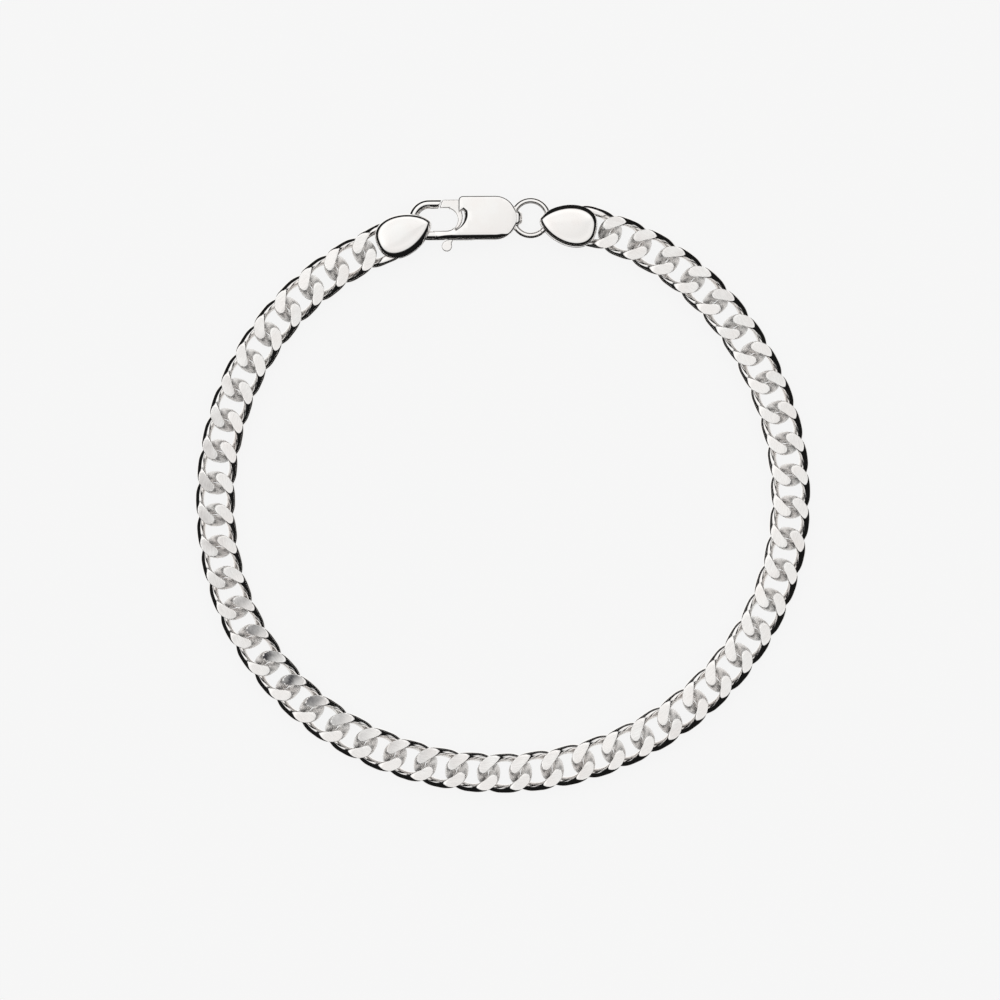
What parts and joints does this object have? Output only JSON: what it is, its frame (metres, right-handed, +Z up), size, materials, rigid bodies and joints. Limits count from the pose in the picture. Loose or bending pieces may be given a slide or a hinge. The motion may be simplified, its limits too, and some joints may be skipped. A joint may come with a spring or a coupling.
{
  "type": "link bracelet",
  "caption": "Closed silver curb link bracelet lying flat, with domed drop-shaped ends, a jump ring and a lobster clasp whose spring lever opens the hook.",
  "frame": {"origin": "middle of the loop, on the table that the bracelet lies on", "axes": "+Z up from the table, +Y from the middle of the loop towards the clasp, +X towards the jump ring's side"},
  "size_m": [0.0694, 0.0672, 0.0028],
  "materials": {
    "silver": "polished"
  },
  "bodies": {
    "bracelet": {"chain": "silver", "terminal_left": "silver", "terminal_right": "silver", "jump_ring": "silver", "clasp_body": "silver"},
    "lever": {"clasp_lever": "silver"}
  },
  "joints": [
    {"name": "lever_pivot", "type": "hinge", "parent": "bracelet", "child": "lever", "pos_m": [-0.00429, 0.03268, 0.0014], "axis": [0, 0, 1], "range_deg": [0, 25], "stiffness_Nm_per_rad": 0.002, "springref_deg": -11.46}
  ]
}
